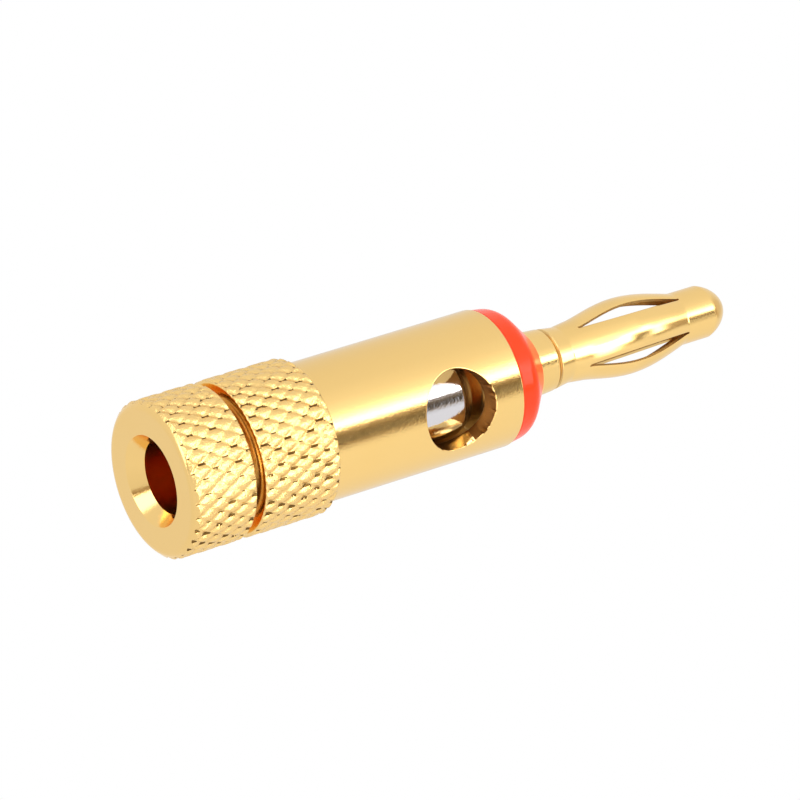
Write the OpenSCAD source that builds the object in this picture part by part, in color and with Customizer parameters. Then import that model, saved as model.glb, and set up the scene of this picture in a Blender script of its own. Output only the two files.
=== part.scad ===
// Banana plug with a screw clamp for the cable, standing on its rear knob.
// The axis is +Z, from the knob's rear face at z = 0 to the tip of the spring pin.
// The cable windows face -Y and +Y.

/* [Grip] */
// Diameter over the knurl of the knob and of the collar
grip_d = 10.1; // [9.8:0.1:12]
// Number of diamonds around each knurl
knurl_starts = 32; // [24:1:40]
// Length of one knurl diamond along the axis
knurl_pitch = 1.65; // [1.2:0.05:2.4]
// Depth of the knurl's grooves
knurl_depth = 0.2; // [0.1:0.02:0.4]
// Length of the bevel at both ends of a knurl
knurl_edge = 0.3; // [0.15:0.05:0.6]

/* [Rear knob] */
// Length of the knurled knob
knob_len = 4.55; // [3.5:0.05:7]
// Gap between the knob and the collar with the clamp nearly closed
knob_gap = 0.6; // [0.2:0.05:1]
// Bore that the cable's insulation goes into
cable_bore_d = 4.7; // [4:0.1:5]
// Mouth of the countersink on the rear face
mouth_d = 5.9; // [5.4:0.1:8]
// Depth of that countersink
mouth_depth = 1; // [0.3:0.1:2]

/* [Clamp screw] */
// Nominal diameter of the screw thread, drawn plain
thread_d = 7; // [6.8:0.1:7.4]
// Thread that is engaged in the barrel
thread_len = 9; // [6:0.1:10]
// Room for the thread to run out ahead of the closed screw
thread_runout = 0.2; // [0.1:0.1:0.8]
// Neck that the clamp tip swivels on
neck_d = 4.1; // [3.8:0.05:4.2]
// Wall of that neck, around the bore for the bare wire
neck_wall = 0.35; // [0.25:0.05:0.5]
// How far the neck's end is flared to hold the clamp tip
lip_flare = 0.2; // [0.1:0.05:0.25]
// Length of the flare
lip_len = 0.45; // [0.3:0.05:0.8]

/* [Clamp tip] */
// Diameter of the clamp tip and of the screw's pilot behind it
tip_d = 5.8; // [5.6:0.1:6]
// Length of the clamp tip
tip_len = 5.6; // [4:0.1:6]
// Diameter of its front face
tip_face_d = 5.1; // [5.05:0.05:5.5]
// Length of the taper to that face
tip_taper = 0.8; // [0.4:0.1:1.5]
// Space left for the wire in front of the clamp tip
wire_gap = 1.3; // [1.3:0.1:3]

/* [Barrel] */
// Diameter of the smooth barrel
barrel_d = 9; // [8.6:0.1:9.6]
// Length of the barrel with its knurled collar
barrel_len = 19.65; // [18.8:0.05:28]
// Length of the knurled collar
collar_len = 5.5; // [4:0.1:8]
// Diameter of the cable windows
window_d = 5.2; // [4:0.1:5.6]
// Distance from the barrel's front face to the middle of the windows
window_back = 4.75; // [4.4:0.05:6]
// Wall at the barrel's front end
front_wall = 1.35; // [1:0.05:2.5]
// Bevel at the barrel's edges
barrel_edge = 0.15; // [0.05:0.05:0.3]

/* [Colour ring] */
// Diameter of the ring where it meets the barrel
ring_d = 8.88; // [8:0.02:9]
// Diameter of the ring's rim ahead of its slightly drafted wall
ring_rim_d = 8.5; // [7.6:0.1:8.8]
// Length of the drafted wall
ring_wall_len = 1.3; // [0.8:0.1:3]
// Round at the rim
ring_round = 0.4; // [0.2:0.05:0.7]
// Length of the whole ring
ring_len = 3; // [2.6:0.1:5]
// Diameter of the flat on the ring's front
ring_front_d = 4.7; // [4.6:0.1:6]

/* [Pin stem] */
// Diameter of the stem inside the ring
stem_d = 4.3; // [4:0.1:4.4]
// Diameter of the stem where it meets the spring pin
stem_front_d = 4.08; // [3.8:0.02:4.3]
// Length of the stem that shows ahead of the ring
stem_show = 1.65; // [0.8:0.05:4]
// Spigot that is riveted through the barrel's front wall
rivet_d = 3.4; // [2.8:0.1:3.6]
// Diameter of the rivet's head
rivet_head_d = 4.6; // [4:0.1:5]
// Height of the rivet's head
rivet_head_h = 0.45; // [0.3:0.05:0.6]
// Length of the spigot in the spring pin
spigot_len = 2; // [1.2:0.1:2.2]

/* [Spring pin] */
// Diameter of the pin's base
base_d = 3.98; // [3.7:0.02:4.2]
// Length of the taper from the base to the waist
base_taper = 1.2; // [0.6:0.1:1.6]
// Diameter at the waist behind the slots
waist_d = 3.68; // [3.5:0.02:3.8]
// Distance from the pin's base to the slots
slot_start = 2.3; // [2.3:0.1:4]
// Length of the slots
slot_len = 8.05; // [6:0.05:12]
// Width of the slots as they were sawn
slot_w = 0.2; // [0.1:0.05:0.6]
// How far each leaf stands out at its middle
leaf_bulge = 0.69; // [0.2:0.01:0.9]
// Turn of the leaves from the windows
leaf_turn = -22; // [-45:1:45]
// Bore of the pin
pin_bore_d = 2.9; // [2.4:0.05:3]
// Diameter of the nose
nose_d = 3.46; // [3.4:0.02:3.6]
// Straight length of the nose
nose_len = 1.95; // [1:0.05:4]
// Bevel at the joint of stem and pin
joint_edge = 0.12; // [0.05:0.01:0.2]

/* [Fits] */
// Radial clearance of the thread
thread_clear = 0.05; // [0.02:0.01:0.1]
// Radial clearance of the clamp tip in the barrel
tip_clear = 0.25; // [0.1:0.05:0.3]
// Clearance of the clamp tip on its neck
swivel_clear = 0.05; // [0.02:0.01:0.08]
// Radial clearance of the pieces that are pressed together
press_clear = 0.01; // [0.005:0.005:0.02]

/* [Hidden] */
$fn = 64;

// Overlap of pieces of one solid, and the overshoot of cuts
join = 0.2;

// Places along the axis
collar_z = knob_len + knob_gap;
barrel_z = collar_z + barrel_len;
cavity_z = barrel_z - front_wall;
window_z = barrel_z - window_back;
tip_front_z = cavity_z - wire_gap;
tip_z = tip_front_z - tip_len;
thread_z = collar_z + thread_len;
thread_bore_z = thread_z + knob_gap + thread_runout;
pilot_z = tip_z - swivel_clear;
ring_z = barrel_z + ring_len;
joint_z = ring_z + stem_show;
slot_z = joint_z + slot_start;
slot_end_z = slot_z + slot_len;
nose_z = slot_end_z + nose_len;

// The neck's flare stops short of the clamp tip's front face
lip_recess = 0.1;
lip_end_z = tip_front_z - lip_recess;
lip_z = lip_end_z - lip_len;

// The insulation stops where the bore narrows to the bare wire's bore
wire_bore_d = neck_d - 2 * neck_wall;
stop_taper = (cable_bore_d - wire_bore_d) / 2;
stop_z = pilot_z - 2 * stop_taper;

tip_bore_d = neck_d + 2 * swivel_clear;
pilot_bore_d = tip_d + 2 * tip_clear;
shank_d = thread_d - 2 * thread_clear;

// Bevel at the ends of threads and spigots
bore_edge = 0.3;

gold = "#f2c96e";
nickel = "#d6d6da";
red = "#f4512c";

// Points on the diamond knurl, in rings: every second point is the top of a diamond
knurl_cols = 2 * knurl_starts;
// How far the plain rings at both ends lie below the grooves
knurl_drop = 0.08;
function knurl_rows(len) = max(2, round(2 * (len - 2 * knurl_edge) / knurl_pitch));
function knurl_z(k, rows, len) =
    k == 0 ? 0 : k == rows + 2 ? len : knurl_edge + (k - 1) * (len - 2 * knurl_edge) / rows;
function knurl_r(k, i, rows) =
    k == 0 || k == rows + 2 ? grip_d / 2 - knurl_depth - knurl_drop
    : grip_d / 2 - ((i + k) % 2 == 0 ? 0 : knurl_depth);
function knurl_at(k, i) = k * knurl_cols + i % knurl_cols;

// A solid disc with diamonds around it, each cell folded along the groove that crosses it
module knurled_band(len) {
    rows = knurl_rows(len);
    points = [
        for (k = [0:rows + 2], i = [0:knurl_cols - 1])
            let (r = knurl_r(k, i, rows), a = 360 * i / knurl_cols)
            [r * cos(a), r * sin(a), knurl_z(k, rows, len)]
    ];
    skin = [
        for (k = [0:rows + 1], i = [0:knurl_cols - 1])
            let (a = knurl_at(k, i), b = knurl_at(k, i + 1))
            let (c = knurl_at(k + 1, i + 1), d = knurl_at(k + 1, i))
            each (i + k) % 2 == 0 ? [[a, d, b], [b, d, c]] : [[a, c, b], [a, d, c]]
    ];
    rear = [for (i = [0:knurl_cols - 1]) knurl_at(0, i)];
    front = [for (i = [knurl_cols - 1:-1:0]) knurl_at(rows + 2, i)];
    polyhedron(points, concat(skin, [rear, front]));
}

// A straight or tapered length of the axis, from one height to another
module turned(z0, z1, d0, d1) {
    translate([0, 0, z0]) cylinder(h = z1 - z0, d1 = d0, d2 = d1);
}

module plain(z0, z1, d) {
    turned(z0, z1, d, d);
}

module rear_knob() {
    color(gold) difference() {
        union() {
            knurled_band(knob_len);
            plain(knob_len - join, thread_z - bore_edge, shank_d);
            turned(thread_z - bore_edge, thread_z, shank_d, shank_d - 2 * bore_edge);
            plain(thread_z - join, pilot_z, tip_d);
            plain(pilot_z - join, lip_end_z, neck_d);
            turned(lip_z, lip_end_z, neck_d, neck_d + 2 * lip_flare);
        }
        turned(0, mouth_depth, mouth_d, cable_bore_d);
        plain(-join, stop_z, cable_bore_d);
        turned(stop_z, stop_z + stop_taper, cable_bore_d, wire_bore_d);
        plain(stop_z, lip_end_z + join, wire_bore_d);
    }
}

module clamp_tip() {
    color(nickel) difference() {
        union() {
            plain(tip_z, tip_front_z - tip_taper, tip_d);
            turned(tip_front_z - tip_taper, tip_front_z, tip_d, tip_face_d);
        }
        plain(tip_z - join, tip_front_z + join, tip_bore_d);
        turned(lip_z, lip_end_z, tip_bore_d, tip_bore_d + 2 * lip_flare);
        plain(lip_end_z, tip_front_z + join, tip_bore_d + 2 * lip_flare);
    }
}

module barrel() {
    color(gold) difference() {
        union() {
            translate([0, 0, collar_z]) knurled_band(collar_len);
            plain(collar_z + collar_len - join, barrel_z - barrel_edge, barrel_d);
            turned(barrel_z - barrel_edge, barrel_z, barrel_d, barrel_d - 2 * barrel_edge);
        }
        turned(collar_z, collar_z + bore_edge, thread_d + 2 * bore_edge, thread_d);
        plain(collar_z - join, thread_bore_z, thread_d);
        plain(collar_z, cavity_z, pilot_bore_d);
        plain(cavity_z - join, barrel_z + join, rivet_d + 2 * press_clear);
        translate([0, 0, window_z]) rotate([90, 0, 0]) cylinder(h = 2 * barrel_d, d = window_d, center = true);
    }
}

// The rim's round runs from the drafted wall into the front cone
rim_steps = 5;
module colour_ring() {
    rim_z = barrel_z + ring_wall_len;
    rim_r = ring_rim_d / 2;
    slope = atan2(rim_r - ring_front_d / 2, ring_z - rim_z - ring_round);
    rim = [
        for (s = [0:rim_steps]) let (a = slope * s / rim_steps)
            [rim_r - ring_round * (1 - cos(a)), rim_z + ring_round * sin(a)]
    ];
    inner_r = stem_d / 2 + press_clear;
    color(red) rotate_extrude() polygon(concat(
        [[inner_r, barrel_z], [ring_d / 2, barrel_z]], rim,
        [[ring_front_d / 2, ring_z], [inner_r, ring_z]]));
}

module pin_stem() {
    spigot_d = pin_bore_d - 2 * press_clear;
    spigot_z = joint_z + spigot_len;
    color(gold) union() {
        plain(cavity_z - rivet_head_h, cavity_z, rivet_head_d);
        plain(cavity_z - join, barrel_z + join, rivet_d);
        plain(barrel_z, ring_z, stem_d);
        turned(ring_z, joint_z - joint_edge, stem_d, stem_front_d);
        turned(joint_z - joint_edge, joint_z, stem_front_d, stem_front_d - 2 * joint_edge);
        plain(joint_z - join, spigot_z - bore_edge, spigot_d);
        turned(spigot_z - bore_edge, spigot_z, spigot_d, spigot_d - 2 * bore_edge);
    }
}

// A leaf keeps the round of the tube that it was sawn from, and is pushed outwards as a whole.
// Its ends lie within the tube's wall.
leaf_inset = 0.03;
leaf_stations = 18;
leaf_arcs = 6;
leaf_ease = 1.15;
function leaf_share(s) = min(1, max(0, (s - 1) / (leaf_stations - 2)));
function leaf_z(s) =
    slot_z + leaf_share(s) * slot_len + (s == 0 ? -join : s == leaf_stations ? join : 0);
function leaf_out_r(s) = (waist_d + (nose_d - waist_d) * leaf_share(s)) / 2 - leaf_inset;
function leaf_in_r() = pin_bore_d / 2 + leaf_inset;
function leaf_push(s) = leaf_bulge * pow(max(0, sin(180 * leaf_share(s))), leaf_ease);
function leaf_half(r) = 45 - asin(slot_w / 2 / r);
function leaf_arc(r, push, z, way) = [
    for (q = [0:leaf_arcs]) let (a = way * leaf_half(r) * (2 * q / leaf_arcs - 1))
        [r * sin(a), -r * cos(a) - push, z]
];

module leaf() {
    loop = 2 * (leaf_arcs + 1);
    points = [
        for (s = [0:leaf_stations])
            each concat(leaf_arc(leaf_out_r(s), leaf_push(s), leaf_z(s), 1),
                leaf_arc(leaf_in_r(), leaf_push(s), leaf_z(s), -1))
    ];
    sides = [
        for (s = [0:leaf_stations - 1], i = [0:loop - 1])
            let (a = s * loop + i, b = s * loop + (i + 1) % loop)
            each [[a, a + loop, b + loop], [a, b + loop, b]]
    ];
    ends = [
        for (q = [0:leaf_arcs - 1]) let (top = leaf_stations * loop)
            each [[q, q + 1, loop - 2 - q, loop - 1 - q],
                [top + q, top + loop - 1 - q, top + loop - 2 - q, top + q + 1]]
    ];
    polyhedron(points, concat(sides, ends));
}

module spring_pin() {
    color(gold) union() {
        difference() {
            union() {
                turned(joint_z, joint_z + joint_edge, base_d - 2 * joint_edge, base_d);
                turned(joint_z + joint_edge, joint_z + base_taper, base_d, waist_d);
                plain(joint_z + base_taper, slot_z, waist_d);
            }
            plain(joint_z - join, slot_z + join, pin_bore_d);
        }
        difference() {
            union() {
                plain(slot_end_z, nose_z, nose_d);
                translate([0, 0, nose_z]) sphere(d = nose_d);
            }
            turned(slot_end_z - join, nose_z, pin_bore_d, 0);
        }
        for (a = [0:90:270]) rotate([0, 0, leaf_turn + a]) leaf();
    }
}

rear_knob();
clamp_tip();
barrel();
colour_ring();
pin_stem();
spring_pin();
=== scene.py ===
import math

import bmesh
import bpy
import numpy as np
from bpy.props import FloatProperty, FloatVectorProperty, IntProperty, PointerProperty
from mathutils import Matrix, Vector, noise


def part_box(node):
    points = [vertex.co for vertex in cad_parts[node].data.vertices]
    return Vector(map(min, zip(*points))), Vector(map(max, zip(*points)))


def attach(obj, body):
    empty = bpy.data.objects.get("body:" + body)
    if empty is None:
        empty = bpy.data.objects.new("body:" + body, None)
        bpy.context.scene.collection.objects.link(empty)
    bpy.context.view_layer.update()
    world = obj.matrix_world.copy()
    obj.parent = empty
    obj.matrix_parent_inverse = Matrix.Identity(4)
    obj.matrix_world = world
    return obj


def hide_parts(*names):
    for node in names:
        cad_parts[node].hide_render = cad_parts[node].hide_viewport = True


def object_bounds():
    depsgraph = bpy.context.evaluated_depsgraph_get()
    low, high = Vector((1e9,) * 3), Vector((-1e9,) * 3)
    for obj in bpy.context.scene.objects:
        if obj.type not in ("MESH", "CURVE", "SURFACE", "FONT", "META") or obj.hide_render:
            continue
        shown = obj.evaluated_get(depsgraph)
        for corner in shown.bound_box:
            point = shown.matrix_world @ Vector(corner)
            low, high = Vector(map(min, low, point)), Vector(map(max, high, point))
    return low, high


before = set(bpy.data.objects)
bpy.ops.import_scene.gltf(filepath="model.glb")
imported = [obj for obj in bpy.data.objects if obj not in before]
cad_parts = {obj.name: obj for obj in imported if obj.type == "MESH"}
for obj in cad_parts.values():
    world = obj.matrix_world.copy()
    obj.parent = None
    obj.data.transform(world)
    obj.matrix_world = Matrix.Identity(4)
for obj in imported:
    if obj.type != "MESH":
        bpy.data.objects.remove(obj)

bl_info = {
    "name": "Banana plug",
    "version": (1, 0, 0),
    "blender": (4, 5, 0),
    "location": "3D View > Sidebar > Plug",
    "description": "Dresses the solids of a banana plug as plated, turned and moulded pieces",
    "category": "Add Mesh",
}

CAD_BOX = [[float(x) for x in corner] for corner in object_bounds()]

MM = 0.001
# Columns of points around a turned piece
COLUMNS = 384
# Steps along the axis that a knurl and a thread are drawn with
KNURL_STEP = 0.085 * MM
THREAD_STEP = 0.13 * MM
# Room around a piece that is pressed on
PRESS_ROOM = 0.01 * MM
# A radius beyond any piece, where nothing is cut
UNCUT = 1.0


def span(node):
    """The heights of a solid's lowest and highest point."""
    low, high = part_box(node)
    return low.z, high.z


def reach(node):
    """The largest radius of a round solid."""
    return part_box(node)[1].x


KNOB_REAR, LIP_FRONT = span("rear_knob")
COLLAR_REAR, BARREL_FRONT = span("barrel")
TIP_REAR, TIP_FRONT = span("clamp_tip")
RING_FRONT = span("colour_ring")[1]
RIVET_REAR, SPIGOT_FRONT = span("pin_stem")
PIN_REAR, PIN_TIP = span("spring_pin")
GRIP_R = reach("rear_knob")
TIP_R = reach("clamp_tip")
RING_R = reach("colour_ring")
RIVET_HEAD_R = reach("pin_stem")


def hex_linear(code):
    """An sRGB colour such as #ff8800 as linear red, green and blue."""
    channels = [int(code[i:i + 2], 16) / 255 for i in (1, 3, 5)]
    return tuple(c / 12.92 if c <= 0.04045 else ((c + 0.055) / 1.055) ** 2.4 for c in channels)


def length(name, description, millimetres):
    """A size that a user may change, given in millimetres and kept in metres."""
    return FloatProperty(
        name=name, description=description, default=millimetres * MM,
        unit="LENGTH", precision=6,
    )


def angle(name, description, degrees):
    """An angle that a user may change, given in degrees and kept in radians."""
    return FloatProperty(
        name=name, description=description, default=math.radians(degrees), subtype="ANGLE",
    )


def colour(name, description, code):
    """A colour that a user may change."""
    return FloatVectorProperty(
        name=name, description=description, default=hex_linear(code),
        subtype="COLOR", size=3, min=0, max=1,
    )


class PlugSizes(bpy.types.PropertyGroup):
    """Sizes of the plug's pieces that the solids' boxes don't give."""

    knob_length: length("Knob length", "Length of the knurled knob", 4.55)
    knurl_starts: IntProperty(
        name="Knurl starts", description="Diamonds around each knurl", default=32, min=12, max=60,
    )
    knurl_pitch: length("Knurl pitch", "Length of a knurl diamond along the axis", 1.68)
    knurl_depth: length("Knurl depth", "Depth of the knurl's pits", 0.26)
    knob_edge: length("Knob edge", "Soft bevel at the knob's rear edge", 0.36)
    mouth_width: length("Mouth", "Diameter of the countersink at the rear face", 5.9)
    mouth_depth: length("Mouth depth", "Depth of that countersink", 1.0)
    cable_bore: length("Cable bore", "Diameter of the cable's bore", 4.7)
    wire_bore: length("Wire bore", "Diameter of the bare wire's bore", 3.4)
    stop_from_tip: length("Cable stop", "From the bore's step to the clamp tip", 1.35)
    thread_major: length("Thread", "Diameter of the screw thread", 6.9)
    thread_pitch: length("Thread pitch", "Pitch of the screw thread", 0.75)
    thread_depth: length("Thread depth", "Depth of the screw thread", 0.36)
    thread_engaged: length("Thread engaged", "Thread ahead of the collar's rear face", 9.0)
    neck_width: length("Swivel neck", "Diameter of the neck in the clamp tip", 4.1)
    lip_flare: length("Flare", "How far the neck's lip is flared", 0.2)
    lip_length: length("Flare length", "Length of the flared lip", 0.45)
    tip_face: length("Tip face", "Diameter of the clamp tip's front face", 5.1)
    tip_taper: length("Tip taper", "Length of the clamp tip's front taper", 0.8)
    swivel_gap: length("Swivel gap", "Clearance of the clamp tip on its neck", 0.05)
    collar_length: length("Collar length", "Length of the knurled collar", 5.5)
    barrel_width: length("Barrel", "Diameter of the smooth barrel", 9.0)
    thread_bore: length("Thread bore", "Diameter of the barrel's threaded bore", 7.0)
    thread_bore_depth: length("Thread bore depth", "Depth of that bore", 9.8)
    pilot_bore: length("Pilot bore", "Diameter of the bore at the windows", 6.3)
    front_wall: length("Front wall", "Wall at the barrel's front end", 1.35)
    window_width: length("Window", "Diameter of the cable windows", 5.2)
    window_back: length("Window place", "From the barrel's front face to the windows", 4.75)
    window_round: length("Window edge", "Round on the windows' edges", 0.07)
    ring_rim: length("Ring rim", "Diameter of the ring's rim", 8.5)
    ring_wall: length("Ring wall", "Length of the ring's drafted wall", 1.3)
    ring_flat: length("Ring flat", "Diameter of the ring's front flat", 4.7)
    stem_width: length("Stem", "Diameter of the stem inside the ring", 4.3)
    stem_front: length("Stem front", "Diameter of the stem at the spring pin", 4.08)
    rivet_width: length("Rivet", "Diameter of the stem's rivet", 3.4)
    rivet_crown: length("Rivet crown", "How far the rivet's hammered head is rounded off", 0.34)
    pin_base: length("Pin base", "Diameter of the spring pin's base", 3.98)
    pin_taper: length("Pin taper", "Length of the taper ahead of the base", 1.2)
    pin_waist: length("Pin waist", "Diameter of the spring pin's waist", 3.68)
    pin_bore: length("Pin bore", "Bore of the spring pin", 2.9)
    slot_start: length("Slot start", "From the pin's base to its slots", 2.3)
    slot_length: length("Slot length", "Length of the slots", 8.05)
    slot_width: length("Slot width", "Width of the slots as sawn", 0.14)
    saw_off: length("Saw offset", "How far both saw cuts pass beside the axis", 0.12)
    leaf_wall: length("Leaf wall", "Thickness of the leaves", 0.28)
    leaf_bulge: length("Leaf bulge", "How far each leaf stands out", 0.66)
    leaf_flare: length("Leaf flare", "How much the pin is flared where its slots start", 0.12)
    leaf_turn: angle("Leaf turn", "Turn of the leaves from the windows", -22)
    nose_width: length("Nose", "Diameter of the pin's nose", 3.46)
    dome_width: length("Dome", "Diameter of the dome at the nose's shoulder", 3.42)
    dome_height: length("Dome height", "Height of that dome", 1.6)
    joint_edge: length("Joint bevel", "Bevel at the joint of stem and pin", 0.15)


class PlugFinish(bpy.types.PropertyGroup):
    """Colours of the plug's finishes."""

    gold: colour("Gold plating", "Colour of the gold plating", "#F9D38A")
    # The bore colour is thin gold, darkened to brown as painted shade for the recesses
    bore: colour("Bore", "Colour of the thin gold in the windows and deep bores", "#98642A")
    slot: colour("Slot", "Colour of the thin gold in slots and in the cavity", "#E8C583")
    # The pit colour is painted shade, for one side of the knurl's deeper pits
    pit: colour("Pit", "Colour of the knurl's torn pits", "#74562A")
    nickel: colour("Nickel plating", "Colour of the nickel plating", "#D9D6D8")
    red: colour("Red plastic", "Colour of the moulded ring", "#F64410")


class PlugStage(bpy.types.PropertyGroup):
    """The camera's place and the light around the plug."""

    camera_turn: angle("Camera turn", "Turn of the camera from the front window", -20.5)
    camera_drop: angle("Camera drop", "How far the camera looks along the plug from behind", 30.257)
    camera_roll: angle("Camera roll", "Rise of the plug's axis in the picture", 17.18)
    camera_right: length("Camera right", "Collar's rear face, right of the centre", -10.928)
    camera_down: length("Camera down", "Collar's rear face, below the centre", 3.656)
    camera_away: length("Camera distance", "Collar's rear face, away from the camera", 344.7)
    floor: colour("Floor", "Colour of the floor", "#F6F6F6")
    lens: FloatProperty(
        name="Lens", description="Focal length on a sensor 36 mm wide", default=252.4,
        unit="CAMERA",
    )


# Meshes


def rounded(corners, closed=True, step_angle=math.radians(18)):
    """Points (radius, height) along a profile of corners: radius, height, round in millimetres.

    Each round has a support point on both sides, which keeps the flats flat when shaded."""
    most_of_side, support_share, fewest_steps, straight = 0.48, 0.25, 3, 1e-3
    points = []
    count = len(corners)
    for i, (r, z, size) in enumerate(corners):
        here = Vector((r, z))
        if size <= 0 or not closed and i in (0, count - 1):
            points.append(here)
            continue
        before = Vector(corners[i - 1][:2])
        after = Vector(corners[(i + 1) % count][:2])
        came, goes = (here - before).normalized(), (after - here).normalized()
        turn = came.angle_signed(goes)
        if abs(turn) < straight:
            points.append(here)
            continue
        room = most_of_side * min((here - before).length, (after - here).length)
        setback = min(size * MM * math.tan(abs(turn) / 2), room)
        radius = setback / math.tan(abs(turn) / 2)
        side = Vector((came.y, -came.x)) * math.copysign(1, turn)
        start = here - came * setback
        middle = start + side * radius
        steps = max(fewest_steps, math.ceil(abs(turn) / step_angle))
        support = support_share * setback
        points.append(start - came * support)
        for k in range(steps + 1):
            spoke = start - middle
            spoke.rotate(Matrix.Rotation(-turn * k / steps, 2))
            points.append(middle + spoke)
        points.append(here + goes * (setback + support))
    return [(p.x, p.y) for p in points]


def finer(points, low, high, least_r, step):
    """The profile with its outer stretches between two heights cut into short steps."""
    out = []
    for a, b in zip(points, points[1:] + points[:1]):
        out.append(a)
        outside = min(a[0], b[0]) >= least_r
        if outside and low <= min(a[1], b[1]) and max(a[1], b[1]) <= high:
            parts = math.ceil(math.dist(a, b) / step)
            for k in range(1, parts):
                out.append(tuple(p + (q - p) * k / parts for p, q in zip(a, b)))
    return out


class Skin:
    """Points and faces of one mesh."""

    def __init__(self):
        self.points = []
        self.faces = []
        self.finishes = {}

    def row(self, points):
        """Adds points and returns their numbers."""
        start = len(self.points)
        self.points.extend(points)
        return list(range(start, len(self.points)))

    def face(self, corners, finish=0):
        """One face, with the number of its finish among the piece's materials."""
        if finish:
            self.finishes[len(self.faces)] = int(finish)
        self.faces.append(corners)

    def strip(self, a, b, skip=(), finish=0):
        """Faces between two closed rows of as many points, or a fan where one row is a point.

        The finish is one number, or a number for each face."""
        count = max(len(a), len(b))
        finishes = np.broadcast_to(finish, count)
        for j in range(count):
            if j in skip:
                continue
            k = (j + 1) % count
            if len(a) == 1:
                corners = (a[0], b[k], b[j])
            elif len(b) == 1:
                corners = (a[j], a[k], b[0])
            else:
                corners = (a[j], a[k], b[k], b[j])
            self.face(corners, finishes[j])

    def piece(self, context, name, body, nodes, slot, *makers):
        """The finished object, riding on a body in place of its solids.

        Each material is named for its maker and made when first needed."""
        mesh = bpy.data.meshes.new(name)
        mesh.from_pydata(self.points, [], self.faces)
        bm = bmesh.new()
        bm.from_mesh(mesh)
        bmesh.ops.recalc_face_normals(bm, faces=bm.faces)
        bm.to_mesh(mesh)
        bm.free()
        mesh.shade_smooth()
        for maker in makers:
            made = bpy.data.materials.get(maker.__name__) or maker(context.scene.plug_finish)
            mesh.materials.append(made)
        for index, finish in self.finishes.items():
            mesh.polygons[index].material_index = finish
        obj = bpy.data.objects.new(name, mesh)
        context.scene.collection.objects.link(obj)
        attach(obj, body)
        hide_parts(*nodes)
        return obj


# Numbers of the finishes among a gold piece's materials. The stem and the pin have only one more
# than their gold, so there it is the first of these.
# The pit finish is painted shade on one side of the knurl's pits
DULL, ROLLED, PIT_SHADE, CLEAN = 1, 2, 3, 4

TURNS = np.arange(COLUMNS) * 2 * math.pi / COLUMNS


def ring_points(r, z, cuts=()):
    """Points around the axis at one height, no further out than the cuts allow."""
    if r <= 0:
        return [(0, 0, z)]
    radii = np.full(COLUMNS, r)
    for cut in cuts:
        radii = np.minimum(radii, cut(TURNS, z))
    return [(q * c, q * s, z) for q, c, s in zip(radii, np.cos(TURNS), np.sin(TURNS))]


def revolve(profile, cuts=(), closed=True, finish=None):
    """The skin of a turned piece from its profile.

    A function of radius and height gives the finishes."""
    skin = Skin()
    rows = [skin.row(ring_points(r, z, cuts)) for r, z in profile]
    for k in range(len(rows) if closed else len(rows) - 1):
        n = (k + 1) % len(rows)
        middle = [(p + q) / 2 for p, q in zip(profile[k], profile[n])]
        skin.strip(rows[k], rows[n], finish=finish(*middle) if finish else 0)
    return skin


class Knurl:
    """Diamonds between two heights, left by two sets of grooves whose crossings go deeper."""

    # Shares of the depth: of a groove alone, what a crossing adds, and of the shallowest pit
    groove, crossing, least = 0.55, 0.45, 0.5
    # A pit gets painted shade below this depth and ahead of this place across it
    torn_below, torn_ahead = 0.54, -0.04
    seed_shift = 0.37
    # Numbers that spread chances evenly over the pits
    spread = (12.9898, 78.233, 43758.5453)

    def __init__(self, sizes, low, high, seed):
        self.sizes, self.low, self.high, self.seed = sizes, low, high, seed

    def pits(self, turns, z):
        """Depth as a share of the deepest pits, and the place across a pit, from -1 to 1.

        The rolls press each pit a little differently."""
        starts = self.sizes.knurl_starts
        around = turns * starts / (2 * math.pi)
        along = (z - self.low) / self.sizes.knurl_pitch + self.seed * self.seed_shift
        ways = (around + along, around - along)
        a, b = [(0.5 + 0.5 * np.cos(2 * math.pi * way)) ** 2 for way in ways]
        one, other = [np.floor(way + 0.5) % starts for way in ways]
        first, second, scale = self.spread
        chance = np.mod(np.sin(one * first + other * second + self.seed) * scale, 1)
        pressed = self.least + (1 - self.least) * chance
        across = np.mod(ways[0] + 0.5, 1) + np.mod(ways[1] + 0.5, 1) - 1
        return (self.groove * np.maximum(a, b) + self.crossing * a * b) * pressed, across

    def cut(self, turns, z):
        """The radius that the rolls leave."""
        if not self.low - 1e-9 <= z <= self.high + 1e-9:
            return np.full_like(turns, UNCUT)
        return GRIP_R - self.sizes.knurl_depth * self.pits(turns, z)[0]

    def finish(self, z):
        """The finish of each face of a row: the rolled one, or in a pit the painted shade.

        Only one side of each deeper pit is painted dark, the side where shade falls."""
        depth, across = self.pits(TURNS + math.pi / COLUMNS, z)
        return np.where((depth > self.torn_below) & (across > self.torn_ahead), PIT_SHADE, ROLLED)


def thread(sizes, low, high):
    """A cut that leaves a right-hand thread between two heights, running out at both ends."""
    steepness, crest, least = 1.25, 0.12, 0.2
    pitch = sizes.thread_pitch

    def cut(turns, z):
        if not low < z <= high:
            return np.full_like(turns, UNCUT)
        share = np.mod(z / pitch - turns / (2 * math.pi), 1)
        groove = np.clip(steepness * np.abs(2 * share - 1) - crest, 0, 1)
        fade = min(1, (z - low) / pitch, (high - z) / pitch + least)
        return sizes.thread_major / 2 - sizes.thread_depth * groove * fade

    return cut


# Materials


def add_node(tree, kind, settings=None, inputs=None):
    """A node with its settings, its constants and its links."""
    node = tree.nodes.new("ShaderNode" + kind)
    for name, value in (settings or {}).items():
        setattr(node, name, value)
    for name, value in (inputs or {}).items():
        if isinstance(value, bpy.types.NodeSocket):
            tree.links.new(value, node.inputs[name])
        else:
            node.inputs[name].default_value = value
    return node


# Numbers of the colour sockets of a node that mixes
FIRST, SECOND, MIXED = 6, 7, 2

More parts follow.
